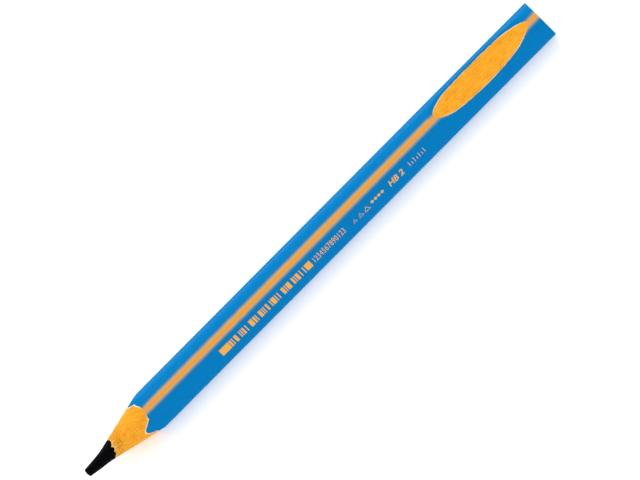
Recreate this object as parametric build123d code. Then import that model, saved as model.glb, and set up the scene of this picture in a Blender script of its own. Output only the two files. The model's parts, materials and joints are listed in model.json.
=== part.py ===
from build123d import *
import os
from math import acos, asin, cos, degrees, radians, sin, tan

# A chunky three-sided pencil. +X runs from the point to the tail, +Z is up, and the
# barrel lies on one flat at z = 0 with its striped corner on top. All in millimetres.

# Barrel
length = 150.0
corner_reach = 5.3           # pencil axis to the top of each rounded corner
corner_radius = 4.6
flat_distance = 4.65         # pencil axis to each flat
ridge_radius = 0.8           # blend where a flat meets a corner
skin_thickness = 0.35        # coloured outer skin
undercoat_thickness = 0.08   # pale bonding coat under the skin
coat_depth = skin_thickness + undercoat_thickness

# Graphite core, a little off centre in the casing as extruded pencils are
core_radius = 2.22
core_offset_y = -0.03
core_offset_z = 0.18

# Sharpened point, cut a little off the pencil's axis. Its first stretch is worn blunter.
point_offset_y = -0.15
point_offset_z = -0.05
point_radius = 1.04          # where the worn slope would meet the blunt end
point_rounding = 0.35
worn_length = 6.0
worn_half_angle = 6.6
cone_half_angle = 13.0
sharpener_margin = 1.0       # how far the cutting cone runs past the barrel

# Stripe along the top corner
stripe_angle = 7.5           # from the corner's middle towards the printed flat
stripe_half_angle = 10.3

# Name panel: a shallow scoop across the striped corner
scoop_radius = 63.6
scoop_floor = 3.18           # pencil axis to the deepest line of the scoop
scoop_from_tail = 19.0
scoop_run_out = 9.8          # past the deepest line the arc turns into a straight slope
scoop_lead_in = 20.0         # degrees of arc before the deepest line, more than it needs

# Foil print on the flat beside the stripe. Places along it count from the point.
print_low = -0.11            # band edges, from the flat's middle towards the stripe
print_high = 2.08
foil_thickness = 0.03
stroke = 0.16

bar_start = 45.3
bar_end = 70.0
bar_module = 0.26
bar_turn = 0.618             # step of the rule that varies the bars, as a share of its cycle
gap_turn = 0.273
widest_extra = 3.9           # modules that the rule can add to a run of one module
end_blocks = ((42.2, 45.1), (70.2, 71.9))

number_start = 72.4
number_pitch = 0.83
number_text = "1234567890123"
figure_width = 0.56
figure_low = 0.1
figure_high = 1.9

emblem_start = 86.05
emblem_pitch = 2.0
emblem_sizes = (0.75, 0.95, 1.15)
emblem_hole = 0.55           # share of each triangle that is left open

diamond_start = 92.1
diamond_pitch = 1.1
diamond_count = 4
diamond_radius = 0.5

grade_start = 97.6
grade_pitch = 1.75
grade_text = "HB2"
grade_width = 1.25

tick_start = 104.3
tick_pitch = 0.8
tick_count = 7
tick_low = 0.25
tick_high = (1.75, 1.15)       # every other tick is short

# Strokes of one figure, as on a counter: a top, b and c right, d foot, e and f left, g middle
figure_strokes = {
    "0": "abcdef", "1": "bc", "2": "abged", "3": "abgcd", "4": "fgbc", "5": "afgcd",
    "6": "afgedc", "7": "abc", "8": "abcdefg", "9": "abcdfg", "H": "fegbc", "B": "abcdefg",
}

sides = 3
side_angle = 360 / sides
corner_angles = (90, 210, 330)   # in the section, the striped corner first

tail_x = length / 2
point_x = -length / 2
axis_z = flat_distance
section_plane = Plane(origin=(point_x, 0, axis_z), x_dir=(0, 1, 0), z_dir=(1, 0, 0))
profile_plane = Plane(origin=(point_x, 0, axis_z), x_dir=(1, 0, 0), z_dir=(0, -1, 0))
print_angle = radians(side_angle / 2)
print_normal = Vector(0, -sin(print_angle), cos(print_angle))
print_plane = Plane(
    origin=Vector(point_x, 0, axis_z) + print_normal * flat_distance,
    x_dir=(1, 0, 0),
    z_dir=print_normal,
)


def barrel(inset):
    # The full-length triangular bar, with its surface moved in by inset.
    arc_radius = corner_radius - inset
    centre_reach = corner_reach - corner_radius
    flat_share = (flat_distance - inset - centre_reach * cos(radians(side_angle / 2))) / arc_radius
    half_arc = side_angle / 2 - degrees(acos(flat_share))
    with BuildPart() as bar:
        with BuildSketch(section_plane) as section:
            with BuildLine():
                arcs = [
                    CenterArc(Vector(centre_reach, 0).rotate(Axis.Z, angle), arc_radius,
                              angle - half_arc, 2 * half_arc)
                    for angle in corner_angles
                ]
                for first, second in zip(arcs, arcs[1:] + arcs[:1]):
                    Line(first @ 1, second @ 0)
            make_face()
            fillet(section.vertices(), ridge_radius - inset)
        extrude(amount=length)
    return bar.part


def sharpened_envelope():
    # Everything that the sharpener leaves: a blunt worn end, then the cone, on an axis of its own.
    worn_radius = point_radius + worn_length * tan(radians(worn_half_angle))
    outer = corner_reach + sharpener_margin
    cone_end = worn_length + (outer - worn_radius) / tan(radians(cone_half_angle))
    plane = profile_plane.move(Location((0, point_offset_y, point_offset_z)))
    with BuildPart() as envelope:
        with BuildSketch(plane) as profile:
            with BuildLine():
                Polyline(
                    (0, 0), (0, point_radius), (worn_length, worn_radius),
                    (cone_end, outer), (length, outer), (length, 0), close=True,
                )
            make_face()
            blunt_edge = profile.vertices().sort_by_distance(
                plane.from_local_coords((0, point_radius)))[0]
            fillet(blunt_edge, point_rounding)
        revolve(axis=Axis(plane.origin, (1, 0, 0)))
    return envelope.part


def core_rod():
    with BuildPart() as rod:
        with BuildSketch(section_plane):
            with Locations((core_offset_y, core_offset_z)):
                Circle(core_radius)
        extrude(amount=length)
    return rod.part


def scoop_cutter():
    # Seen from the side: an arc over the deepest line, then a straight slope off the tail.
    centre = (length - scoop_from_tail, scoop_floor + scoop_radius)
    slope_angle = degrees(asin(scoop_run_out / scoop_radius))
    beyond_tail = scoop_from_tail / cos(radians(slope_angle))
    ceiling = 2 * corner_reach
    with BuildPart() as cutter:
        with BuildSketch(profile_plane):
            with BuildLine():
                arc = CenterArc(centre, scoop_radius, -90 - scoop_lead_in, scoop_lead_in + slope_angle)
                slope = Line(arc @ 1, arc @ 1 + (arc % 1) * beyond_tail)
                corners = [Vector((slope @ 1).X, ceiling), Vector((arc @ 0).X, ceiling)]
                Polyline(slope @ 1, *corners, arc @ 0)
            make_face()
        extrude(amount=ceiling, both=True)
    return cutter.part


def stripe_wedge():
    # A wedge from the pencil's axis that takes the stripe out of the skin.
    reach = 2 * corner_reach
    edges = [radians(-stripe_angle + side * stripe_half_angle) for side in (-1, 1)]
    with BuildPart() as wedge:
        with BuildSketch(section_plane):
            Polygon((0, 0), *[(reach * sin(a), reach * cos(a)) for a in edges], align=None)
        extrude(amount=length)
    return wedge.part


def foil(shapes):
    # Thin flakes of pressed foil on the printed flat, one for each shape drawn there.
    with BuildPart() as flakes:
        for sketch in shapes:
            extrude(print_plane * sketch, amount=foil_thickness)
    return flakes.part


def bar(start, end, low, high):
    return Pos((start + end) / 2, (low + high) / 2) * Rectangle(end - start, high - low)


def run_width(index, turn):
    # Width of one bar or gap: whole modules, mostly one, in an order that never settles.
    share = index * turn % 1
    return bar_module * (1 + int(widest_extra * share ** 2))


def barcode_shapes():
    # Made-up bars between two solid blocks. They encode nothing.
    shapes = [bar(start, end, print_low, print_high) for start, end in end_blocks]
    place = bar_start
    index = 1
    while place + run_width(index, bar_turn) <= bar_end:
        width = run_width(index, bar_turn)
        shapes.append(bar(place, place + width, print_low, print_high))
        place += width + run_width(index, gap_turn)
        index += 1
    return shapes


def figure_shape(text, start, width):
    # One figure built from straight strokes that overlap at their ends.
    low, high = figure_low, figure_high
    middle = (low + high) / 2
    end = start + width
    half = stroke / 2
    places = {
        "a": (start, end, high - stroke, high),
        "b": (end - stroke, end, middle - half, high),
        "c": (end - stroke, end, low, middle + half),
        "d": (start, end, low, low + stroke),
        "e": (start, start + stroke, low, middle + half),
        "f": (start, start + stroke, middle - half, high),
        "g": (start, end, middle - half, middle + half),
    }
    return Sketch() + [bar(*places[name]) for name in figure_strokes[text]]


def text_shapes(text, start, pitch, width):
    return [figure_shape(t, start + i * pitch, width) for i, t in enumerate(text)]


def emblem_shapes():
    # Open triangles that grow towards the tail, with their corners towards the stripe.
    base = print_low + max(emblem_sizes) / 2
    shapes = []
    for index, size in enumerate(emblem_sizes):
        outline = RegularPolygon(size, sides, rotation=90, align=None)
        window = RegularPolygon(size * emblem_hole, sides, rotation=90, align=None)
        shapes.append(Pos(emblem_start + index * emblem_pitch, base) * (outline - window))
    return shapes


def diamond_shapes():
    middle = (print_low + print_high) / 2
    return [Pos(diamond_start + i * diamond_pitch, middle) * RegularPolygon(diamond_radius, 4)
            for i in range(diamond_count)]


def tick_shapes():
    return [bar(tick_start + i * tick_pitch, tick_start + i * tick_pitch + stroke,
                tick_low, tick_high[i % len(tick_high)])
            for i in range(tick_count)]


envelope = sharpened_envelope()
scoop = scoop_cutter()
rod = core_rod()
wedge = stripe_wedge()
skin_inner = barrel(skin_thickness)
casing_outer = barrel(coat_depth)

skin_shell = (barrel(0) & envelope) - skin_inner - scoop

nodes = {
    "graphite_core": rod & envelope,
    "casing": (casing_outer & envelope) - rod - scoop,
    "undercoat": (skin_inner & envelope) - casing_outer - scoop,
    "skin": skin_shell - wedge,
    "corner_stripe": skin_shell & wedge,
    "barcode_foil": foil(barcode_shapes()),
    "number_foil": foil(text_shapes(number_text, number_start, number_pitch, figure_width)),
    "emblem_foil": foil(emblem_shapes()),
    "diamond_foil": foil(diamond_shapes()),
    "grade_foil": foil(text_shapes(grade_text, grade_start, grade_pitch, grade_width)),
    "tick_foil": foil(tick_shapes()),
}

os.makedirs("parts", exist_ok=True)
for name, shape in nodes.items():
    export_step(shape, f"parts/{name}.step")
    size = shape.bounding_box().size
    print(f"{name}: {len(shape.solids())} solids, {shape.volume:.2f} mm3, "
          f"{size.X:.2f} x {size.Y:.2f} x {size.Z:.2f} mm")
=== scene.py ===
import json
from math import atan, cos, pi, radians, sin, sqrt, tan

import bmesh
import bpy
import numpy as np
from mathutils import Matrix, Vector, noise


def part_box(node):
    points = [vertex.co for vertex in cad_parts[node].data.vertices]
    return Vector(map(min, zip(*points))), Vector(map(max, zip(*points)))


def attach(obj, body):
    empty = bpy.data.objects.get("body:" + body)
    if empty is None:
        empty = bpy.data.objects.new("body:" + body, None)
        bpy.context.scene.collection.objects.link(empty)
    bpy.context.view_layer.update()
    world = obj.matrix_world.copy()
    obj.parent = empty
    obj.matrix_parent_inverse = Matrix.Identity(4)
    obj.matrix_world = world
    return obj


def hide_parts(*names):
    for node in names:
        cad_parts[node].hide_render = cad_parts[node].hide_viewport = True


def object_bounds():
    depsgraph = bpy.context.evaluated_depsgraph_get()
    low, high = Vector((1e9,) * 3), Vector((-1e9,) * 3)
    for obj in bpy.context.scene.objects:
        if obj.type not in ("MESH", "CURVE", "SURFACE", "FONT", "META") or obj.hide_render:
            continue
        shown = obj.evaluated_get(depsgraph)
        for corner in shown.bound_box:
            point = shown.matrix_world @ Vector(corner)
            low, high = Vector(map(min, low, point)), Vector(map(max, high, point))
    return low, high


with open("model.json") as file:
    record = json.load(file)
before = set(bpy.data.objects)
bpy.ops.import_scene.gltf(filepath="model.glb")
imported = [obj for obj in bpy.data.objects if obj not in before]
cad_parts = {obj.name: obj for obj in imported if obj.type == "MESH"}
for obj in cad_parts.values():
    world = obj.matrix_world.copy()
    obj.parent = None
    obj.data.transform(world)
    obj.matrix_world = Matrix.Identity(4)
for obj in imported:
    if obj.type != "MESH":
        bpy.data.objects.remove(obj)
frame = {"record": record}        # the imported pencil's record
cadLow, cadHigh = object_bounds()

# A chunky three-sided pencil. Every piece of it is a shell between two surfaces that
# go round the pencil's axis, so each surface is a distance from the axis, found from
# x (millimetres from the point) and turn (radians from the striped corner to +Y).

mm = 0.001
mountPlaces = {mount["name"]: Vector(mount["pos_m"]) for mount in frame["record"]["mounts"]}
axisHeight = mountPlaces["barrel_grip"].z
pencilLength = (cadHigh.x - cadLow.x) / mm
coreLow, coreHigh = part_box("graphite_core")

barrel = {
    "cornerReach": (cadHigh.z - axisHeight) / mm,
    "cornerRadius": 4.6,
    "flatDistance": (axisHeight - cadLow.z) / mm,
    "ridgeRadius": 0.8,
    "skin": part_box("undercoat")[0].z / mm,
    "coats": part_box("casing")[0].z / mm,
    "tailRounding": 0.14,
    "swells": (                # extra skin on the inside, as the die left it: turn, spread, depth
        (radians(27), radians(13), 0.15),
        (radians(-43), radians(8), -0.12),
    ),
    "edgeWander": 0.035,       # unevenness of the coats' inner faces
    "edgeGrain": 1.1,          # wanders per millimetre
}

core = {
    "radius": (coreHigh.y - coreLow.y) / 2 / mm,
    "sideways": (coreHigh.y + coreLow.y) / 2 / mm,
    "upwards": ((coreHigh.z + coreLow.z) / 2 - axisHeight) / mm,
    "tornDepth": 0.13,         # how raggedly the casing tears where it meets the core
    "tornGrains": ((1.0, 1.25), (0.45, 3.375)),          # share, and wanders per millimetre
    "tornStretch": 0.4,        # of the wander along the pencil
    "tornEnd": (16.0, 24.0),   # the tearing dies away from the first to the second,
    "plainShare": 0.2,         # to this share of itself
}

point = {
    "sideways": -0.15,         # the point is cut a little off the pencil's axis
    "upwards": -0.05,
    "leanLength": 4.0,         # over which its very end comes back to the axis
    "radius": 1.04,
    "wornSlope": tan(radians(6.6)),
    "wornLength": 6.0,
    "slope": tan(radians(13.0)),
    "slopeBlend": 0.12,
    "domeRadius": 2.6,         # the worn end is a low dome
    "domeBlend": 0.28,
    "chatter": 0.014,          # unevenness that the sharpener's blade leaves
    "chatterGrain": 0.9,
    "chatterRadius": 2.0,      # of the ring that its pattern is read round
}

scoop = {
    "radius": 63.6,
    "floor": 3.18,             # pencil axis to the deepest line
    "fromTail": 19.0,
    "runOut": 9.8,             # past the deepest line the arc turns into a straight slope
    "runIn": 57.0,             # before it, the arc has long left the barrel
    "ripple": 0.008,
    "rippleLength": 0.9,
    "leastUpward": 0.3,        # the cut is looked for only where the surface faces up this much
    "outOfReach": 1000.0,
}

stripe = {
    "middle": radians(-7.2),   # halfway along the pencil
    "twist": radians(0.023),   # per millimetre towards the tail
    "halfWidth": radians(10.3),
    "fade": (0.13, 1.68),      # millimetres from the middle: where orange starts to turn blue, and ends
}

studioLevel = 1.17         # how much brighter the studio is than the light a paint chart is read in


def paint(red, green, blue):
    # a colour as a paint chart gives it, 0 to 255, turned into Blender's linear values
    def linear(level):
        level /= 255
        return (level / 12.92 if level <= 0.04045 else ((level + 0.055) / 1.055) ** 2.4) / studioLevel
    return (linear(red), linear(green), linear(blue), 1.0)


# Surfaces, as distances from the axis.

def roundAbout(turn, radius, sideways, upwards):
    # a circle of its own centre, as a distance from the axis in each direction
    along = sideways * np.sin(turn) + upwards * np.cos(turn)
    across = sideways * np.cos(turn) - upwards * np.sin(turn)
    return along + np.sqrt(np.maximum(radius ** 2 - across ** 2, 0))


def ridgePlaces(inset=0.0):
    # where a flat's blend starts and ends, and its centre, all seen from the flat's middle
    corner = barrel["cornerRadius"] - barrel["ridgeRadius"]
    reach = barrel["cornerReach"] - barrel["cornerRadius"]
    along = reach * sin(pi / 3)
    up = barrel["flatDistance"] - barrel["ridgeRadius"]
    blendAlong = along + sqrt(corner ** 2 - (up - reach * cos(pi / 3)) ** 2)
    flatTurn = atan(blendAlong / (barrel["flatDistance"] - inset))
    outward = Vector((blendAlong - along, up - reach * cos(pi / 3))).normalized()
    touch = Vector((blendAlong, up)) + outward * (barrel["ridgeRadius"] - inset)
    return flatTurn, atan(touch.x / touch.y), blendAlong, up


def barrelSurface(turn, inset=0.0):
    # three flats and three rounded corners with a small blend between, all moved in by inset
    away = np.abs(turn % (2 * pi / 3) - pi / 3)          # from the nearest flat's middle
    reach = barrel["cornerReach"] - barrel["cornerRadius"]
    flatTurn, cornerTurn, blendAlong, blendUp = ridgePlaces(inset)
    onFlat = (barrel["flatDistance"] - inset) / np.cos(away)
    onBlend = roundAbout(away, barrel["ridgeRadius"] - inset, blendAlong, blendUp)
    onCorner = roundAbout(pi / 3 - away, barrel["cornerRadius"] - inset, 0, reach)
    return np.where(away < flatTurn, onFlat, np.where(away > cornerTurn, onCorner, onBlend))


def wander(x, turn, radius, grain, stretch=1.0):
    # smooth noise from -1 to 1 that closes on itself round the axis
    places = zip(x * grain * stretch, radius * np.sin(turn) * grain, radius * np.cos(turn) * grain)
    return np.array([noise.noise(Vector(place)) for place in places])


def skinInner(x, turn):
    uneven = wander(x, turn, barrel["cornerRadius"], barrel["edgeGrain"])
    surface = barrelSurface(turn, barrel["skin"]) + barrel["edgeWander"] * uneven
    for middle, spread, depth in barrel["swells"]:
        surface = surface - depth * np.exp((np.cos(turn - middle) - 1) / spread ** 2)
    return surface


def coatsInner(x, turn):
    return skinInner(x, turn) - (barrel["coats"] - barrel["skin"])


def skinOuter(x, turn):
    # the plain barrel, its edge rounded a little at the tail
    past = np.clip(x - (pencilLength - barrel["tailRounding"]), 0, barrel["tailRounding"])
    rounding = barrel["tailRounding"] - np.sqrt(barrel["tailRounding"] ** 2 - past ** 2)
    return barrelSurface(turn) - rounding


def coreSurface(x, turn):
    # a round rod a little off the axis, ragged where the sharpener tore the casing off it
    torn = 0
    for share, grain in core["tornGrains"]:
        torn = torn + share * wander(x, turn, core["radius"], grain, core["tornStretch"])
    torn = torn * np.interp(x, core["tornEnd"], (1.0, core["plainShare"]))
    return roundAbout(turn, core["radius"], core["sideways"], core["upwards"]) + core["tornDepth"] * torn


def softLeast(first, second, blend):
    # the smaller of two surfaces, with the corner between them rounded off
    share = np.clip(0.5 + 0.5 * (second - first) / blend, 0, 1)
    return second * (1 - share) + first * share - blend * share * (1 - share)


def sharpened(x, turn):
    # the low dome of the worn end, then the worn slope, then the cone
    worn = point["radius"] + x * point["wornSlope"]
    wornEnd = point["radius"] + point["wornLength"] * point["wornSlope"]
    cone = wornEnd + (x - point["wornLength"]) * point["slope"]
    slope = -softLeast(-worn, -cone, point["slopeBlend"])
    radius = softLeast(np.sqrt(2 * point["domeRadius"] * x), slope, point["domeBlend"])
    lean = np.clip(x / point["leanLength"], 0, 1)
    uneven = wander(x, turn, point["chatterRadius"], point["chatterGrain"]) - 1
    plain = roundAbout(turn, radius, point["sideways"] * lean, point["upwards"] * lean)
    return plain + point["chatter"] * uneven * np.clip(x, 0, 1)


def scooped(x, turn):
    # a cut across the striped corner, an arc and then a straight slope towards the tail
    along = x - (pencilLength - scoop["fromTail"])
    onArc = np.clip(along, -scoop["runIn"], scoop["runOut"])
    depth = np.sqrt(scoop["radius"] ** 2 - onArc ** 2)
    height = scoop["floor"] + scoop["radius"] - depth + (along - onArc) * onArc / depth
    height = height + scoop["ripple"] * np.sin(2 * pi * x / scoop["rippleLength"])
    upward = np.cos(turn)
    reached = scoop["leastUpward"]
    return np.where(upward > reached, height / np.maximum(upward, reached), scoop["outOfReach"])


def cutSurface(x, turn):
    nearTail = x > pencilLength / 2
    return np.where(nearTail, scooped(x, turn), sharpened(x, turn))


# Meshes, unrolled on a grid first and then wrapped round the axis.

meshing = {
    "coneStep": 0.13,
    "shaftStep": 2.5,
    "scoopStep": 0.45,
    "turnStep": 2.5,           # degrees
    "ridgeSteps": 7,
    "tip": (0, 0.004, 0.015, 0.035, 0.07, 0.12, 0.18, 0.26, 0.36, 0.48, 0.6),
    "casingStart": 5.0,        # a little nearer the point than the casing reaches
    "coatStart": 15.5,         # and the same for its coats and skin
    "coneEnd": 22.6,
    "scoopReach": 18.6,
    "tailSteps": 5,
    "sharpFrom": radians(9),
    "leastTurn": radians(0.25),
    "ridgeMargin": 0.01,
    "tailMargin": 0.1,
    "sameTurn": 1e-6,
    "weld": 1e-7,
}


def stationsBetween(start, end):
    # places along the pencil: close together at the point, the scoop and the tail
    scoopStart = pencilLength - scoop["fromTail"] - meshing["scoopReach"]
    rounding = np.linspace(0, pi / 2, meshing["tailSteps"])
    tail = pencilLength - barrel["tailRounding"] * (1 - np.sin(rounding))
    every = np.concatenate([
        meshing["tip"][:-1],
        np.arange(meshing["tip"][-1], meshing["coneEnd"], meshing["coneStep"]),
        np.arange(meshing["coneEnd"], scoopStart, meshing["shaftStep"]),
        np.arange(scoopStart, tail[0] - meshing["tailMargin"], meshing["scoopStep"]),
        tail,
    ])
    return every[(every >= start) & (every <= end)]


def turnsBetween(start, end):
    # angles round the axis, closer together where a flat turns into a corner
    flatTurn, cornerTurn = ridgePlaces()[:2]
    margin = meshing["ridgeMargin"]
    ridge = np.linspace(flatTurn - margin, cornerTurn + margin, meshing["ridgeSteps"])
    flats = np.arange(-5, 7, 2) * pi / 3
    ridges = np.concatenate([flat + side * ridge for flat in flats for side in (-1, 1)])
    even = np.radians(np.arange(-360, 361, meshing["turnStep"]))
    chosen = [start]
    for turn in sorted([*ridges, *even]):
        if chosen[-1] + meshing["leastTurn"] < turn < end - meshing["leastTurn"]:
            chosen.append(turn)
    return np.array([*chosen, end])


def layGrid(stations, turns):
    # an unrolled sheet, x across and turn up, that is wrapped round the axis later
    sheet = bmesh.new()
    sheet.verts.layers.float.new("level")
    sheet.verts.layers.int.new("edge")
    lines = [[sheet.verts.new((x, turn, 0)) for turn in turns] for x in stations]
    for low, high in zip(lines, lines[1:]):
        for i in range(len(turns) - 1):
            sheet.faces.new((low[i], high[i], high[i + 1], low[i + 1]))
    return sheet


def readSheet(sheet):
    sheet.verts.index_update()
    places = np.array([vert.co[:2] for vert in sheet.verts], float)
    return places[:, 0], places[:, 1]


def cutAlong(sheet, value):
    # splits the sheet where value passes zero, and returns the verts on that line
    level = value(*readSheet(sheet))
    layer = sheet.verts.layers.float["level"]
    for vert in sheet.verts:
        vert[layer] = level[vert.index]
    crossed = []
    for edge in sheet.edges:
        low, high = (vert[layer] for vert in edge.verts)
        if low * high < 0:
            crossed.append((edge, edge.verts[0], low / (low - high)))
    onLine = [bmesh.utils.edge_split(*cut)[1] for cut in crossed]
    for vert in onLine:
        vert[layer] = 0
    if onLine:
        bmesh.ops.connect_verts(sheet, verts=onLine)
    return onLine


def trimSheet(sheet, value):
    # keeps only the part where value is above zero
    edgeLayer = sheet.verts.layers.int["edge"]
    for vert in cutAlong(sheet, value):
        vert[edgeLayer] = 1
    layer = sheet.verts.layers.float["level"]
    absent = [face for face in sheet.faces if sum(vert[layer] for vert in face.verts) <= 0]
    bmesh.ops.delete(sheet, geom=absent, context="FACES")


def placeVerts(solid, x, turn, radius, marks):
    points = np.stack([x, radius * np.sin(turn), radius * np.cos(turn)], axis=1) * mm
    verts = [solid.verts.new((cadLow.x + p[0], p[1], axisHeight + p[2])) for p in points]
    for key, mark in marks.items():
        layer = solid.verts.layers.float[key]
        for vert, level in zip(verts, mark(x, turn, radius)):
            vert[layer] = level
    return verts


def freeEdges(sheet, turn, ends):
    # the sheet's outer edges, as pairs of vert numbers. A sheet that goes all round has none
    # along its seam.
    closedRound = abs(ends[1] - ends[0] - 2 * pi) < meshing["sameTurn"]
    for edge in sheet.edges:
        if len(edge.link_loops) != 1:
            continue
        loop = edge.link_loops[0]
        a, b = loop.vert.index, loop.link_loop_next.vert.index
        atEnd = np.abs(ends - turn[a]).min() < meshing["sameTurn"]
        onSeam = atEnd and abs(turn[a] - turn[b]) < meshing["sameTurn"]
        if not (closedRound and onSeam):
            yield a, b


def wrapPiece(name, span, turns, outer, inner=None, marks=None):
    # the closed solid between two surfaces, cut as the whole pencil is. With no inner surface
    # it is solid to the axis. Marks are values kept on the verts.
    marks = marks or {}
    sheet = layGrid(stationsBetween(*span), turns)
    if inner:
        trimSheet(sheet, lambda x, turn: cutSurface(x, turn) - inner(x, turn))
    cutAlong(sheet, lambda x, turn: cutSurface(x, turn) - outer(x, turn))
    x, turn = readSheet(sheet)
    edgeLayer = sheet.verts.layers.int["edge"]
    onEdge = np.array([vert[edgeLayer] for vert in sheet.verts], bool)
    solid = bmesh.new()
    for key in marks:
        solid.verts.layers.float.new(key)

    outerRadius = np.minimum(outer(x, turn), cutSurface(x, turn))
    if inner:
        innerRadius = inner(x, turn)
        outerRadius = np.where(onEdge, innerRadius, outerRadius)
        inside = placeVerts(solid, x, turn, innerRadius, marks)
    else:
        tailMiddle = solid.verts.new((cadHigh.x, 0, axisHeight))
    outside = placeVerts(solid, x, turn, outerRadius, marks)
    for face in sheet.faces:
        ring = [vert.index for vert in face.verts]
        solid.faces.new([outside[i] for i in ring])
        if inner:
            solid.faces.new([inside[i] for i in reversed(ring)])
    for a, b in freeEdges(sheet, turn, turns[[0, -1]]):
        if inner and not (onEdge[a] and onEdge[b]):
            solid.faces.new((outside[b], outside[a], inside[a], inside[b]))
        elif not inner and x[a] > pencilLength / 2:
            solid.faces.new((outside[b], outside[a], tailMiddle))
    sheet.free()
    bmesh.ops.remove_doubles(solid, verts=solid.verts, dist=meshing["weld"])
    return finishMesh(name, solid)


def finishMesh(name, solid):
    mesh = bpy.data.meshes.new(name)
    solid.to_mesh(mesh)
    solid.free()
    mesh.shade_smooth()
    mesh.set_sharp_from_angle(angle=meshing["sharpFrom"])
    piece = bpy.data.objects.new(name, mesh)
    bpy.context.scene.collection.objects.link(piece)
    print(f"{name}: {len(mesh.polygons)} faces")
    return piece


# Finishes. Their patterns are in millimetres from the pencil's axis.


def addNode(tree, kind, inputs=None, **settings):
    # a node with its settings, its values and, where an input is given a socket, its links
    node = tree.nodes.new(kind)
    for key, value in settings.items():
        setattr(node, key, value)
    for key, value in (inputs or {}).items():
        if isinstance(value, bpy.types.NodeSocket):
            tree.links.new(value, node.inputs[key])
        else:
            node.inputs[key].default_value = value
    return node


def calculate(tree, operation, first, second=0.0, third=0.0):
    inputs = {0: first, 1: second, 2: third}
    return addNode(tree, "ShaderNodeMath", inputs, operation=operation).outputs[0]


def addUp(tree, values, weights):
    # every value times its weight, all added up
    total = 0.0
    for value, weight in zip(values, weights):
        total = calculate(tree, "MULTIPLY_ADD", value, weight, total)
    return total


def multiply(tree, first, *others):
    for other in others:
        first = calculate(tree, "MULTIPLY", first, other)
    return first


def rescale(tree, value, fromLow, fromHigh, toLow=0.0, toHigh=1.0):
    inputs = {"Value": value, "From Min": fromLow, "From Max": fromHigh, "To Min": toLow, "To Max": toHigh}
    return addNode(tree, "ShaderNodeMapRange", inputs).outputs["Result"]


def spreadGrain(tree, grain, low, high):
    # noise seldom leaves 0.3 to 0.7, which becomes low to high
    return rescale(tree, grain, 0.3, 0.7, low, high)


def mixPaint(tree, share, first, second):
    inputs = {0: share, 6: first, 7: second}
    return addNode(tree, "ShaderNodeMix", inputs, data_type="RGBA").outputs[2]


def millimetrePlace(tree, stretch=(1, 1, 1)):
    # the object's own place in millimetres from the pencil's axis, stretched for grain
    place = addNode(tree, "ShaderNodeTexCoord").outputs["Object"]
    scale = [1 / mm * s for s in stretch]
    shift = (0, 0, -axisHeight * scale[2])
    inputs = {"Vector": place, "Location": shift, "Scale": scale}
    return addNode(tree, "ShaderNodeMapping", inputs).outputs[0]


def grainNoise(tree, place, scale, detail=2.0, roughness=0.5):
    inputs = {"Vector": place, "Scale": scale, "Detail": detail, "Roughness": roughness}
    return addNode(tree, "ShaderNodeTexNoise", inputs).outputs["Fac"]


def stretchedGrain(tree, stretch, detail=3.0, roughness=0.5):
    # noise with a grain of its own along, across and up the pencil
    return grainNoise(tree, millimetrePlace(tree, stretch), 1.0, detail, roughness)


def colourRamp(tree, share, colours):
    ramp = addNode(tree, "ShaderNodeValToRGB", {"Fac": share})
    stops = ramp.color_ramp.elements
    while len(stops) < len(colours):
        stops.new(0.5)
    for stop, (position, colour) in zip(stops, colours):
        stop.position = position
        stop.color = colour
    return ramp.outputs["Color"]


def vertMark(tree, key):
    return addNode(tree, "ShaderNodeAttribute", attribute_name=key).outputs["Fac"]


def startFinish(name, gloss):
    material = bpy.data.materials.new(name)
    material.use_nodes = True
    shader = material.node_tree.nodes["Principled BSDF"]
    shader.inputs["Specular IOR Level"].default_value = gloss
    return material, material.node_tree, shader


def endFinish(tree, shader, colour, roughness, height, relief):
    tree.links.new(colour, shader.inputs["Base Color"])
    tree.links.new(roughness, shader.inputs["Roughness"])
    bump = addNode(tree, "ShaderNodeBump", {"Height": height, "Strength": 1.0, "Distance": relief})
    tree.links.new(bump.outputs[0], shader.inputs["Normal"])


def fromStripe(tree, place):
    # millimetres from the stripe's middle, measured round the corner
    axes = addNode(tree, "ShaderNodeSeparateXYZ", {0: place})
    turn = calculate(tree, "ARCTAN2", axes.outputs["Y"], axes.outputs["Z"])
    middle = calculate(tree, "MULTIPLY_ADD", axes.outputs["X"], stripe["twist"], stripe["middle"])
    off = calculate(tree, "ABSOLUTE", calculate(tree, "SUBTRACT", turn, middle))
    return calculate(tree, "MULTIPLY", off, barrel["cornerReach"])


skinFinish = {
    "blueDeep": paint(0, 112, 176),
    "cutBlue": paint(6, 118, 180),
    "fade": (                  # from the stripe's middle outwards, as a share of the fade
        (0.00, paint(231, 151, 34)),
        (0.20, paint(222, 159, 84)),
        (0.38, paint(197, 159, 122)),
        (0.52, paint(152, 147, 142)),
        (0.68, paint(92, 131, 156)),
        (0.84, paint(32, 119, 170)),
        (1.00, paint(2, 122, 188)),
    ),
    "fadeWander": 0.03,        # millimetres
    "fadeGrain": 0.35,         # every grain is in wanders per millimetre
    "mottle": (0.6, 4.0, 0.65),          # grain, detail and roughness
    "mottleLevel": (0.35, 0.75),         # noise between these turns plain skin into mottled
    "mottleShare": 0.55,
    "cutDepth": 0.02,          # millimetres shaved off at which the cut look is full
    "cutShare": 0.4,
    "cutRoughness": 0.2,
    "drawn": (0.03, 4, 4),     # fine lines from the die: their grain along, across and up
    "peel": 2.2,
    "blade": (7, 0.5, 0.5),    # marks of the blade, on the cut edge alone
    "heights": (0.7, 1.0, 3.0),          # of the drawn lines, the peel and the blade's marks
    "worn": (1.3, 3.0),
    "roughness": (0.62, 0.78),
    "gloss": 0.02,
    "relief": 0.012 * mm,
}


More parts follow.
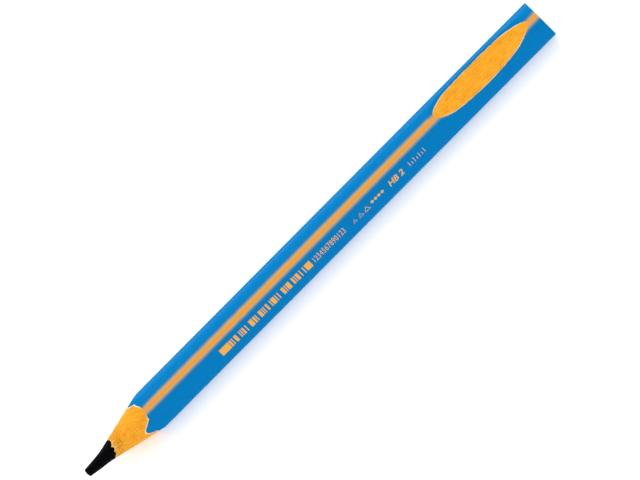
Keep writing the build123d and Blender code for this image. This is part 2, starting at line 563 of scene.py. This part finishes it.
def makeSkinFinish():
    # satin extruded plastic; the stripe fades into the blue on both sides
    finish = skinFinish
    material, tree, shader = startFinish("extrudedSkin", finish["gloss"])
    place = millimetrePlace(tree)
    wandering = grainNoise(tree, place, finish["fadeGrain"])
    wandering = spreadGrain(tree, wandering, -finish["fadeWander"], finish["fadeWander"])
    away = calculate(tree, "ADD", fromStripe(tree, place), wandering)
    share = rescale(tree, away, *stripe["fade"])
    colour = colourRamp(tree, share, finish["fade"])
    mottle = rescale(tree, grainNoise(tree, place, *finish["mottle"]), *finish["mottleLevel"])
    mottle = multiply(tree, mottle, share, finish["mottleShare"])
    colour = mixPaint(tree, mottle, colour, finish["blueDeep"])
    cut = rescale(tree, vertMark(tree, "cutDepth"), 0.0, finish["cutDepth"])
    colour = mixPaint(tree, multiply(tree, cut, finish["cutShare"], share), colour, finish["cutBlue"])
    drawn = stretchedGrain(tree, finish["drawn"])
    peel = grainNoise(tree, place, finish["peel"])
    blade = multiply(tree, stretchedGrain(tree, finish["blade"]), cut)
    height = addUp(tree, (drawn, peel, blade), finish["heights"])
    roughness = spreadGrain(tree, grainNoise(tree, place, *finish["worn"]), *finish["roughness"])
    roughness = calculate(tree, "MULTIPLY_ADD", cut, finish["cutRoughness"], roughness)
    endFinish(tree, shader, colour, roughness, height, finish["relief"])
    return material


casingFinish = {
    "light": paint(250, 180, 58),
    "middle": paint(238, 161, 36),
    "dark": paint(220, 138, 28),
    "fleck": paint(120, 78, 20),
    "torn": paint(240, 210, 120),
    "tornWidth": 0.55,         # millimetres of paler, frayed casing beside the core
    "tornShare": 0.7,
    "tornWander": 0.5,         # millimetres either way, which makes the frayed rim ragged
    "tones": (("dark", 0.36), ("middle", 0.5), ("light", 0.64)),     # by level of noise
    "fibre": ((0.35, 3.2, 3.2), 5.0, 0.6),
    "grain": (3.4, 4.0, 0.7),
    "cloud": 0.45,
    "toneShares": (0.45, 0.35, 0.2),     # of the fibre, the grain and the cloud
    "fleckStretch": (0.8, 1, 1),
    "fleckGrain": (3.4, 2.0, 0.6),
    "fleckLevel": (0.45, 0.62),          # noise above this is a fleck, at the core and far away
    "fleckReach": 5.0,         # flecks thin out this far from the core
    "coneReach": 20.0,         # farther than this from the point, the core's edge is never near
    "fleckEdge": 0.12,
    "fleckShare": 0.6,
    "blade": (5, 0.35, 0.35),
    "heights": (0.7, 0.5, -1.0),         # of the grain, the blade's marks and the flecks
    "roughness": (0.62, 0.82),
    "gloss": 0.08,
    "relief": 0.05 * mm,
}


def makeCasingFinish():
    # wood-look composite: fibres along the pencil, dark flecks and a frayed pale rim at the core
    finish = casingFinish
    material, tree, shader = startFinish("woodComposite", finish["gloss"])
    place = millimetrePlace(tree)
    fibre = stretchedGrain(tree, *finish["fibre"])
    grain = grainNoise(tree, place, *finish["grain"])
    cloud = grainNoise(tree, place, finish["cloud"])
    tone = addUp(tree, (fibre, grain, cloud), finish["toneShares"])
    colour = colourRamp(tree, tone, [(position, finish[key]) for key, position in finish["tones"]])
    fromCore = vertMark(tree, "fromCore")
    spotted = grainNoise(tree, millimetrePlace(tree, finish["fleckStretch"]), *finish["fleckGrain"])
    least = rescale(tree, fromCore, 0.0, finish["fleckReach"], *finish["fleckLevel"])
    above = calculate(tree, "SUBTRACT", spotted, least)
    fleck = rescale(tree, above, 0.0, finish["fleckEdge"], 0.0, finish["fleckShare"])
    colour = mixPaint(tree, fleck, colour, finish["fleck"])
    wandering = spreadGrain(tree, grain, -finish["tornWander"], finish["tornWander"])
    ragged = calculate(tree, "ADD", fromCore, wandering)
    frayed = rescale(tree, ragged, 0.0, finish["tornWidth"], finish["tornShare"], 0.0)
    colour = mixPaint(tree, frayed, colour, finish["torn"])
    blade = stretchedGrain(tree, finish["blade"])
    height = addUp(tree, (grain, blade, fleck), finish["heights"])
    roughness = spreadGrain(tree, grain, *finish["roughness"])
    endFinish(tree, shader, colour, roughness, height, finish["relief"])
    return material


coreFinish = {
    "dark": paint(2, 2, 4),
    # painted sheen: this lighter, cooler colour stands in for the shine of the streaks
    "paintedSheen": paint(14, 15, 20),
    "streak": ((0.5, 3.0, 3.0), 4.0, 0.6),
    "paintedSheenLevel": (0.42, 0.72),          # noise between these turns dark into the painted sheen colour
    "blade": (4.5, 0.4, 0.4),
    "pits": 5.0,
    "heights": (0.6, 0.5, 0.3),          # of the blade's marks, the streaks and the pits
    "roughness": (0.58, 0.36), # smoother where it is more streaked
    "gloss": 0.02,
    "relief": 0.04 * mm,
}


def makeCoreFinish():
    # graphite and clay: nearly black, with a painted sheen along the blade's streaks, a lighter, cooler
    # colour that stands in for their shine
    finish = coreFinish
    material, tree, shader = startFinish("graphite", finish["gloss"])
    streak = stretchedGrain(tree, *finish["streak"])
    blade = stretchedGrain(tree, finish["blade"])
    pits = grainNoise(tree, millimetrePlace(tree), finish["pits"])
    # the streaks get the painted sheen colour, less of it where the pits are
    paintedSheen = rescale(tree, streak, *finish["paintedSheenLevel"])
    paintedSheen = multiply(tree, paintedSheen, spreadGrain(tree, pits, 0.4, 1.0))
    colour = mixPaint(tree, paintedSheen, finish["dark"], finish["paintedSheen"])
    roughness = spreadGrain(tree, streak, *finish["roughness"])
    height = addUp(tree, (blade, streak, pits), finish["heights"])
    endFinish(tree, shader, colour, roughness, height, finish["relief"])
    return material


undercoatFinish = {
    "pale": paint(246, 212, 162),
    "inStripe": paint(234, 154, 40),
    "besideStripe": (1.0, 2.2),          # millimetres over which the stripe's colour gives way
    "chalk": (3.0, 3.0),
    "chalkLevel": (0.35, 0.7),
    "chalkShare": 0.35,
    "roughness": (0.6, 0.8),
    "gloss": 0.2,
}


def makeUndercoatFinish():
    # pale, but orange where the stripe's pigment runs down through it
    finish = undercoatFinish
    material, tree, shader = startFinish("bondingCoat", finish["gloss"])
    place = millimetrePlace(tree)
    chalk = grainNoise(tree, place, *finish["chalk"])
    stained = rescale(tree, chalk, *finish["chalkLevel"], 0.0, finish["chalkShare"])
    colour = mixPaint(tree, stained, finish["pale"], casingFinish["light"])
    beside = rescale(tree, fromStripe(tree, place), *finish["besideStripe"], 1.0, 0.0)
    colour = mixPaint(tree, beside, colour, finish["inStripe"])
    roughness = spreadGrain(tree, chalk, *finish["roughness"])
    endFinish(tree, shader, colour, roughness, chalk, skinFinish["relief"])
    return material


foilFinish = {
    "gold": paint(238, 167, 40),
    "thin": paint(206, 150, 56),
    "worn": (4.0, 3.0, 0.6),
    "thinLevel": (0.62, 0.74), # noise between these turns whole foil into thin foil
    "roughness": (0.32, 0.5),
    "gloss": 0.3,
    "relief": 0.006 * mm,
}


def makeFoilFinish():
    # pressed pigment foil, thin in places where the roller missed
    finish = foilFinish
    material, tree, shader = startFinish("pressedFoil", finish["gloss"])
    worn = grainNoise(tree, millimetrePlace(tree), *finish["worn"])
    thin = rescale(tree, worn, *finish["thinLevel"])
    colour = mixPaint(tree, thin, finish["gold"], finish["thin"])
    roughness = spreadGrain(tree, worn, *finish["roughness"])
    endFinish(tree, shader, colour, roughness, worn, finish["relief"])
    return material


skinPlastic = makeSkinFinish()
woodComposite = makeCasingFinish()
graphite = makeCoreFinish()
bondingCoat = makeUndercoatFinish()
pressedFoil = makeFoilFinish()
print("finishes ready")


# The pencil's body.

def finishPiece(piece, material, node):
    piece.data.materials.append(material)
    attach(piece, "root")
    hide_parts(node)


def cutDepthMark(x, turn, radius):
    return skinOuter(x, turn) - radius


def fromCoreMark(x, turn, radius):
    # how far up the cone a point is from the core's edge; the scoop counts as far away
    onCone = (radius - coreSurface(x, turn)) / point["slope"]
    return np.maximum(onCone, x - casingFinish["coneReach"])


allRound = turnsBetween(-pi, pi)
stripeLow = stripe["middle"] - stripe["halfWidth"]
stripeHigh = stripe["middle"] + stripe["halfWidth"]

leadCore = wrapPiece("leadCore", (0, pencilLength), allRound, coreSurface)
finishPiece(leadCore, graphite, "graphite_core")

woodCasing = wrapPiece("woodCasing", (meshing["casingStart"], pencilLength), allRound,
                       coatsInner, coreSurface, {"fromCore": fromCoreMark})
finishPiece(woodCasing, woodComposite, "casing")

bondCoat = wrapPiece("bondCoat", (meshing["coatStart"], pencilLength), allRound,
                     skinInner, coatsInner)
finishPiece(bondCoat, bondingCoat, "undercoat")

skinParts = (
    ("blueSkin", stripeHigh, stripeLow + 2 * pi, "blue_skin", "skin"),
    ("orangeStripe", stripeLow, stripeHigh, "orange_stripe", "corner_stripe"),
)
for name, start, end, slotName, node in skinParts:
    piece = wrapPiece(name, (meshing["coatStart"], pencilLength), turnsBetween(start, end),
                      skinOuter, skinInner, {"cutDepth": cutDepthMark})
    finishPiece(piece, skinPlastic, node)
print("body ready")


# The foil marks, drawn flat in millimetres from the point and then laid on the printed flat.

printed = {
    "turn": radians(-60),      # the flat beside the stripe
    "low": -0.11,              # the band of marks, from the flat's middle towards the stripe
    "high": 2.08,
    "thickness": 0.03,
}

barRow = {
    "firstBlock": 2.9,
    "lastBlock": 1.7,
    "blockGap": 0.2,
    "count": 26,
    "module": 0.26,
    "barTurn": 0.618,          # step of the rule that varies the bars, as a share of its cycle
    "gapTurn": 0.273,
    "widestExtra": 3.9,        # modules that the rule can add to a run of one module
}

triangleRow = {"count": 3, "pitch": 2.0, "first": 0.75, "growth": 0.2, "window": 0.55}

diamondRow = {"count": 4, "pitch": 1.1, "radius": 0.5}

tickRow = {"count": 7, "pitch": 0.8, "low": 0.25, "high": 1.75, "shorter": 0.6, "stroke": 0.16}

figures = {
    "number_foil": {"text": "1234567890123", "bold": 0.0, "shear": 0.0, "spacing": 1.12},
    "grade_foil": {"text": "HB 2", "bold": 0.02, "shear": 0.25, "spacing": 1.0},
    "low": 0.1,
    "high": 1.9,
    "curveSteps": 6,
}


def startOf(node):
    return (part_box(node)[0].x - cadLow.x) / mm


def endOf(node):
    return (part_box(node)[1].x - cadLow.x) / mm


def startTree(name, sizes):
    # a tree with one named input for each size, and one for the material
    tree = bpy.data.node_groups.new(name, "GeometryNodeTree")
    tree.interface.new_socket("Geometry", in_out="OUTPUT", socket_type="NodeSocketGeometry")
    for label, value in sizes.items():
        kind = "NodeSocketInt" if isinstance(value, int) else "NodeSocketFloat"
        tree.interface.new_socket(label, in_out="INPUT", socket_type=kind)
    tree.interface.new_socket("material", in_out="INPUT", socket_type="NodeSocketMaterial")
    return tree, tree.nodes.new("NodeGroupInput").outputs


def endTree(tree, parts, material):
    joined = addNode(tree, "GeometryNodeJoinGeometry")
    for part in parts:
        tree.links.new(part, joined.inputs[0])
    real = addNode(tree, "GeometryNodeRealizeInstances", {0: joined.outputs[0]})
    dressed = addNode(tree, "GeometryNodeSetMaterial", {"Geometry": real.outputs[0], "Material": material})
    tree.links.new(dressed.outputs[0], tree.nodes.new("NodeGroupOutput").inputs[0])


def joinVector(tree, x=0.0, y=0.0, z=0.0):
    return addNode(tree, "ShaderNodeCombineXYZ", {0: x, 1: y, 2: z}).outputs[0]


def boxAt(tree, x, y, sizeX, sizeY, thickness):
    block = addNode(tree, "GeometryNodeMeshCube", {"Size": joinVector(tree, sizeX, sizeY, thickness)})
    place = joinVector(tree, x, y, calculate(tree, "MULTIPLY", thickness, 0.5))
    inputs = {"Geometry": block.outputs[0], "Translation": place}
    return addNode(tree, "GeometryNodeTransform", inputs).outputs[0]


def repeatShape(tree, count, shape, x, y, thickness, scale):
    points = addNode(tree, "GeometryNodePoints", {"Count": count})
    place = joinVector(tree, x, y, calculate(tree, "MULTIPLY", thickness, 0.5))
    moved = addNode(tree, "GeometryNodeSetPosition", {"Geometry": points.outputs[0], "Position": place})
    inputs = {"Points": moved.outputs[0], "Instance": shape, "Scale": scale}
    return addNode(tree, "GeometryNodeInstanceOnPoints", inputs).outputs[0]


def runWidth(tree, index, turn, module, widestExtra):
    # whole modules, mostly one, in an order that never settles
    share = calculate(tree, "FRACT", calculate(tree, "MULTIPLY", index, turn))
    extra = calculate(tree, "MULTIPLY", calculate(tree, "POWER", share, 2.0), widestExtra)
    return calculate(tree, "MULTIPLY", calculate(tree, "ADD", calculate(tree, "FLOOR", extra), 1.0), module)


def barcodeTree(sizes):
    # made-up bars between two solid blocks. They encode nothing.
    tree, given = startTree("barcode", sizes)
    height = calculate(tree, "SUBTRACT", given["high"], given["low"])
    middle = calculate(tree, "MULTIPLY", calculate(tree, "ADD", given["high"], given["low"]), 0.5)
    index = calculate(tree, "ADD", addNode(tree, "GeometryNodeInputIndex").outputs[0], 1.0)
    bar = runWidth(tree, index, given["barTurn"], given["module"], given["widestExtra"])
    gap = runWidth(tree, index, given["gapTurn"], given["module"], given["widestExtra"])
    step = calculate(tree, "ADD", bar, gap)
    before = addNode(tree, "GeometryNodeAccumulateField", {0: step}).outputs["Trailing"]
    barsStart = calculate(tree, "ADD", given["start"], given["firstBlock"])
    barsStart = calculate(tree, "ADD", barsStart, given["blockGap"])
    place = calculate(tree, "ADD", barsStart, calculate(tree, "MULTIPLY_ADD", bar, 0.5, before))
    cube = addNode(tree, "GeometryNodeMeshCube", {"Size": (1, 1, 1)}).outputs[0]
    scale = joinVector(tree, bar, height, given["thickness"])
    bars = repeatShape(tree, given["count"], cube, place, middle, given["thickness"], scale)
    firstMiddle = calculate(tree, "MULTIPLY_ADD", given["firstBlock"], 0.5, given["start"])
    lastMiddle = calculate(tree, "MULTIPLY_ADD", given["lastBlock"], -0.5, given["end"])
    first = boxAt(tree, firstMiddle, middle, given["firstBlock"], height, given["thickness"])
    last = boxAt(tree, lastMiddle, middle, given["lastBlock"], height, given["thickness"])
    endTree(tree, [bars, first, last], given["material"])
    return tree


def triangleTree(sizes):
    # open triangles that grow towards the tail
    tree, given = startTree("triangles", sizes)
    index = addNode(tree, "GeometryNodeInputIndex").outputs[0]
    size = calculate(tree, "MULTIPLY_ADD", index, given["growth"], given["first"])
    sideMiddle = calculate(tree, "MULTIPLY_ADD", given["window"], 0.5, 0.5)
    sideWidth = calculate(tree, "MULTIPLY_ADD", given["window"], -0.5, 0.5)
    corners = {"Resolution": 3, "Radius": sideMiddle}
    outline = addNode(tree, "GeometryNodeCurvePrimitiveCircle", corners)
    band = {"Width": sideWidth, "Height": given["thickness"]}
    profile = addNode(tree, "GeometryNodeCurvePrimitiveQuadrilateral", band)
    curves = {"Curve": outline.outputs[0], "Profile Curve": profile.outputs[0]}
    hollow = addNode(tree, "GeometryNodeCurveToMesh", curves)
    turned = {"Geometry": hollow.outputs[0], "Rotation": (0, 0, pi / 2)}
    hollow = addNode(tree, "GeometryNodeTransform", turned).outputs[0]
    place = calculate(tree, "MULTIPLY_ADD", index, given["pitch"], given["start"])
    scale = joinVector(tree, size, size, 1.0)
    row = repeatShape(tree, given["count"], hollow, place, given["middle"], given["thickness"], scale)
    endTree(tree, [row], given["material"])
    return tree


def diamondTree(sizes):
    tree, given = startTree("diamonds", sizes)
    index = addNode(tree, "GeometryNodeInputIndex").outputs[0]
    place = calculate(tree, "MULTIPLY_ADD", index, given["pitch"], given["start"])
    body = {"Vertices": 4, "Radius": given["radius"], "Depth": given["thickness"]}
    diamond = addNode(tree, "GeometryNodeMeshCylinder", body).outputs[0]
    row = repeatShape(tree, given["count"], diamond, place, given["middle"], given["thickness"], (1, 1, 1))
    endTree(tree, [row], given["material"])
    return tree


def tickTree(sizes):
    # every other tick is short
    tree, given = startTree("ticks", sizes)
    index = addNode(tree, "GeometryNodeInputIndex").outputs[0]
    place = calculate(tree, "MULTIPLY_ADD", index, given["pitch"], given["start"])
    drop = calculate(tree, "MULTIPLY", calculate(tree, "MODULO", index, 2.0), given["shorter"])
    top = calculate(tree, "SUBTRACT", given["high"], drop)
    height = calculate(tree, "SUBTRACT", top, given["low"])
    middle = calculate(tree, "MULTIPLY_ADD", height, 0.5, given["low"])
    cube = addNode(tree, "GeometryNodeMeshCube", {"Size": (1, 1, 1)}).outputs[0]
    scale = joinVector(tree, given["stroke"], height, given["thickness"])
    row = repeatShape(tree, given["count"], cube, place, middle, given["thickness"], scale)
    endTree(tree, [row], given["material"])
    return tree


def layOnFlat(mesh):
    normal = Vector((0, sin(printed["turn"]), cos(printed["turn"])))
    upward = normal.cross(Vector((1, 0, 0)))
    turned = Matrix(((1, 0, 0), upward, normal)).transposed().to_4x4()
    foot = Vector((cadLow.x, 0, axisHeight)) + normal * barrel["flatDistance"] * mm
    mesh.transform(Matrix.Translation(foot) @ turned @ Matrix.Scale(mm, 4))


def evaluatedMesh(piece):
    graph = bpy.context.evaluated_depsgraph_get()
    return bpy.data.meshes.new_from_object(piece.evaluated_get(graph))


def stampRow(name, node, makeTree, sizes):
    # grows a row of marks from its tree, makes it a plain mesh and lays it on the flat
    sizes = {**sizes, "thickness": printed["thickness"]}
    tree = makeTree(sizes)
    piece = bpy.data.objects.new(name, bpy.data.meshes.new(name))
    bpy.context.scene.collection.objects.link(piece)
    grow = piece.modifiers.new("grow", "NODES")
    grow.node_group = tree
    for socket in tree.interface.items_tree:
        if socket.in_out == "INPUT":
            grow[socket.identifier] = pressedFoil if socket.name == "material" else sizes[socket.name]
    mesh = evaluatedMesh(piece)
    piece.modifiers.clear()
    piece.data = mesh
    layOnFlat(mesh)
    finishFoil(piece, node)


def stampText(name, node):
    # figures from the plain built-in face, stretched to the space they fill on the flat
    style = figures[node]
    text = bpy.data.curves.new(name, "FONT")
    text.body = style["text"]
    text.shear = style["shear"]
    text.offset = style["bold"]
    text.space_character = style["spacing"]
    text.extrude = printed["thickness"]
    text.resolution_u = figures["curveSteps"]
    drawn = bpy.data.objects.new(name + "Drawn", text)
    bpy.context.scene.collection.objects.link(drawn)
    mesh = evaluatedMesh(drawn)
    bpy.data.objects.remove(drawn)
    places = np.array([vert.co for vert in mesh.vertices])
    low, high = places.min(axis=0), places.max(axis=0)
    newLow = Vector((startOf(node), figures["low"], 0))
    newHigh = Vector((endOf(node), figures["high"], printed["thickness"]))
    for vert in mesh.vertices:
        share = [(vert.co[i] - low[i]) / (high[i] - low[i]) for i in range(3)]
        vert.co = [newLow[i] + share[i] * (newHigh[i] - newLow[i]) for i in range(3)]
    mesh.materials.clear()
    mesh.materials.append(pressedFoil)
    piece = bpy.data.objects.new(name, mesh)
    bpy.context.scene.collection.objects.link(piece)
    layOnFlat(mesh)
    finishFoil(piece, node)


def finishFoil(piece, node):
    solid = bmesh.new()
    solid.from_mesh(piece.data)
    bmesh.ops.remove_doubles(solid, verts=solid.verts, dist=meshing["weld"])
    bmesh.ops.recalc_face_normals(solid, faces=solid.faces)
    solid.to_mesh(piece.data)
    solid.free()
    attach(piece, "root")
    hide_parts(node)
    print(f"{piece.name}: {len(piece.data.polygons)} faces")


barSpan = {
    "low": printed["low"],
    "high": printed["high"],
    "start": startOf("barcode_foil"),
    "end": endOf("barcode_foil"),
}
stampRow("barcodeMarks", "barcode_foil", barcodeTree, {**barRow, **barSpan})

largest = triangleRow["first"] + (triangleRow["count"] - 1) * triangleRow["growth"]
triangleSpan = {
    "middle": printed["low"] + largest / 2,
    "start": startOf("emblem_foil") + triangleRow["first"] * cos(pi / 6),
}
stampRow("triangleMarks", "emblem_foil", triangleTree, {**triangleRow, **triangleSpan})

diamondSpan = {
    "middle": (printed["low"] + printed["high"]) / 2,
    "start": startOf("diamond_foil") + diamondRow["radius"],
}
stampRow("diamondMarks", "diamond_foil", diamondTree, {**diamondRow, **diamondSpan})

tickSpan = {"start": startOf("tick_foil") + tickRow["stroke"] / 2}
stampRow("tickMarks", "tick_foil", tickTree, {**tickRow, **tickSpan})

stampText("numberMarks", "number_foil")
stampText("gradeMarks", "grade_foil")
print("foil marks ready")


# Studio.

camera = {
    "lean": radians(17.5),     # from straight above, towards the printed flat
    "tailLean": radians(1.4),  # and towards the tail
    "roll": radians(45.18),    # the pencil's slope in the frame
    "lens": 600.0,
    "sensor": 36.0,
    "frameWidth": 149.27 * mm,
    "aimAlong": 2.09 * mm,     # the frame's middle, from the pencil's middle towards the tail
    "aimAside": 0.12 * mm,
}

studio = {
    "floorSize": 5.0,
    "floorColour": (0.95, 0.95, 0.95, 1.0),
    "floorGlow": 0.16,         # keeps the shadow faint
    "skyStrength": 1.05,
    "lightDistance": 0.9,
    "lightSize": 0.9,
    "floorRoughness": 0.9,
    "floorGloss": 0.1,
    "lights": (                # name, power, and how far aside they are for each unit upwards
        ("key", 5.0, 2.4),     # low, from the side away from the foil marks
        ("fill", 2.0, -2.0),
    ),
}


def placeCamera():
    data = bpy.data.cameras.new("camera")
    data.lens = camera["lens"]
    data.sensor_width = camera["sensor"]
    square = Vector((0, -sin(camera["lean"]), cos(camera["lean"])))
    along = Vector((1, 0, 0))
    aside = square.cross(along)
    back = cos(camera["tailLean"]) * square + sin(camera["tailLean"]) * along
    level = aside.cross(back)
    right = cos(camera["roll"]) * level - sin(camera["roll"]) * aside
    up = sin(camera["roll"]) * level + cos(camera["roll"]) * aside
    target = Vector(((cadLow.x + cadHigh.x) / 2, 0, axisHeight))
    target += along * camera["aimAlong"] - aside * camera["aimAside"]
    distance = camera["frameWidth"] * camera["lens"] / camera["sensor"]
    turned = Matrix((right, up, back)).transposed().to_4x4()
    view = bpy.data.objects.new("camera", data)
    view.matrix_world = Matrix.Translation(target + back * distance) @ turned
    data.clip_start, data.clip_end = distance * 0.1, distance * 10
    bpy.context.scene.collection.objects.link(view)
    bpy.context.scene.camera = view
    return aside


def placeLight(name, direction, power):
    data = bpy.data.lights.new(name, "AREA")
    data.energy = power
    data.size = studio["lightSize"]
    light = bpy.data.objects.new(name, data)
    light.location = direction.normalized() * studio["lightDistance"]
    light.rotation_euler = direction.to_track_quat("Z", "Y").to_euler()
    bpy.context.scene.collection.objects.link(light)


def placeFloor():
    sheet = bmesh.new()
    bmesh.ops.create_grid(sheet, x_segments=2, y_segments=2, size=studio["floorSize"] / 2)
    mesh = bpy.data.meshes.new("floor")
    sheet.to_mesh(mesh)
    sheet.free()
    floor = bpy.data.objects.new("floor", mesh)
    bpy.context.scene.collection.objects.link(floor)
    material = bpy.data.materials.new("floorPaint")
    material.use_nodes = True
    shader = material.node_tree.nodes["Principled BSDF"]
    shader.inputs["Base Color"].default_value = studio["floorColour"]
    shader.inputs["Roughness"].default_value = studio["floorRoughness"]
    shader.inputs["Specular IOR Level"].default_value = studio["floorGloss"]
    shader.inputs["Emission Color"].default_value = studio["floorColour"]
    shader.inputs["Emission Strength"].default_value = studio["floorGlow"]
    mesh.materials.append(material)


def lightWorld():
    world = bpy.data.worlds.new("sky")
    world.use_nodes = True
    world.node_tree.nodes["Background"].inputs["Color"].default_value = (1, 1, 1, 1)
    world.node_tree.nodes["Background"].inputs["Strength"].default_value = studio["skyStrength"]
    bpy.context.scene.world = world
    bpy.context.scene.view_settings.view_transform = "Standard"


acrossFrame = placeCamera()
placeFloor()
lightWorld()
for name, power, aside in studio["lights"]:
    placeLight(name, Vector((0, 0, 1)) + acrossFrame * aside, power)
print("studio ready")
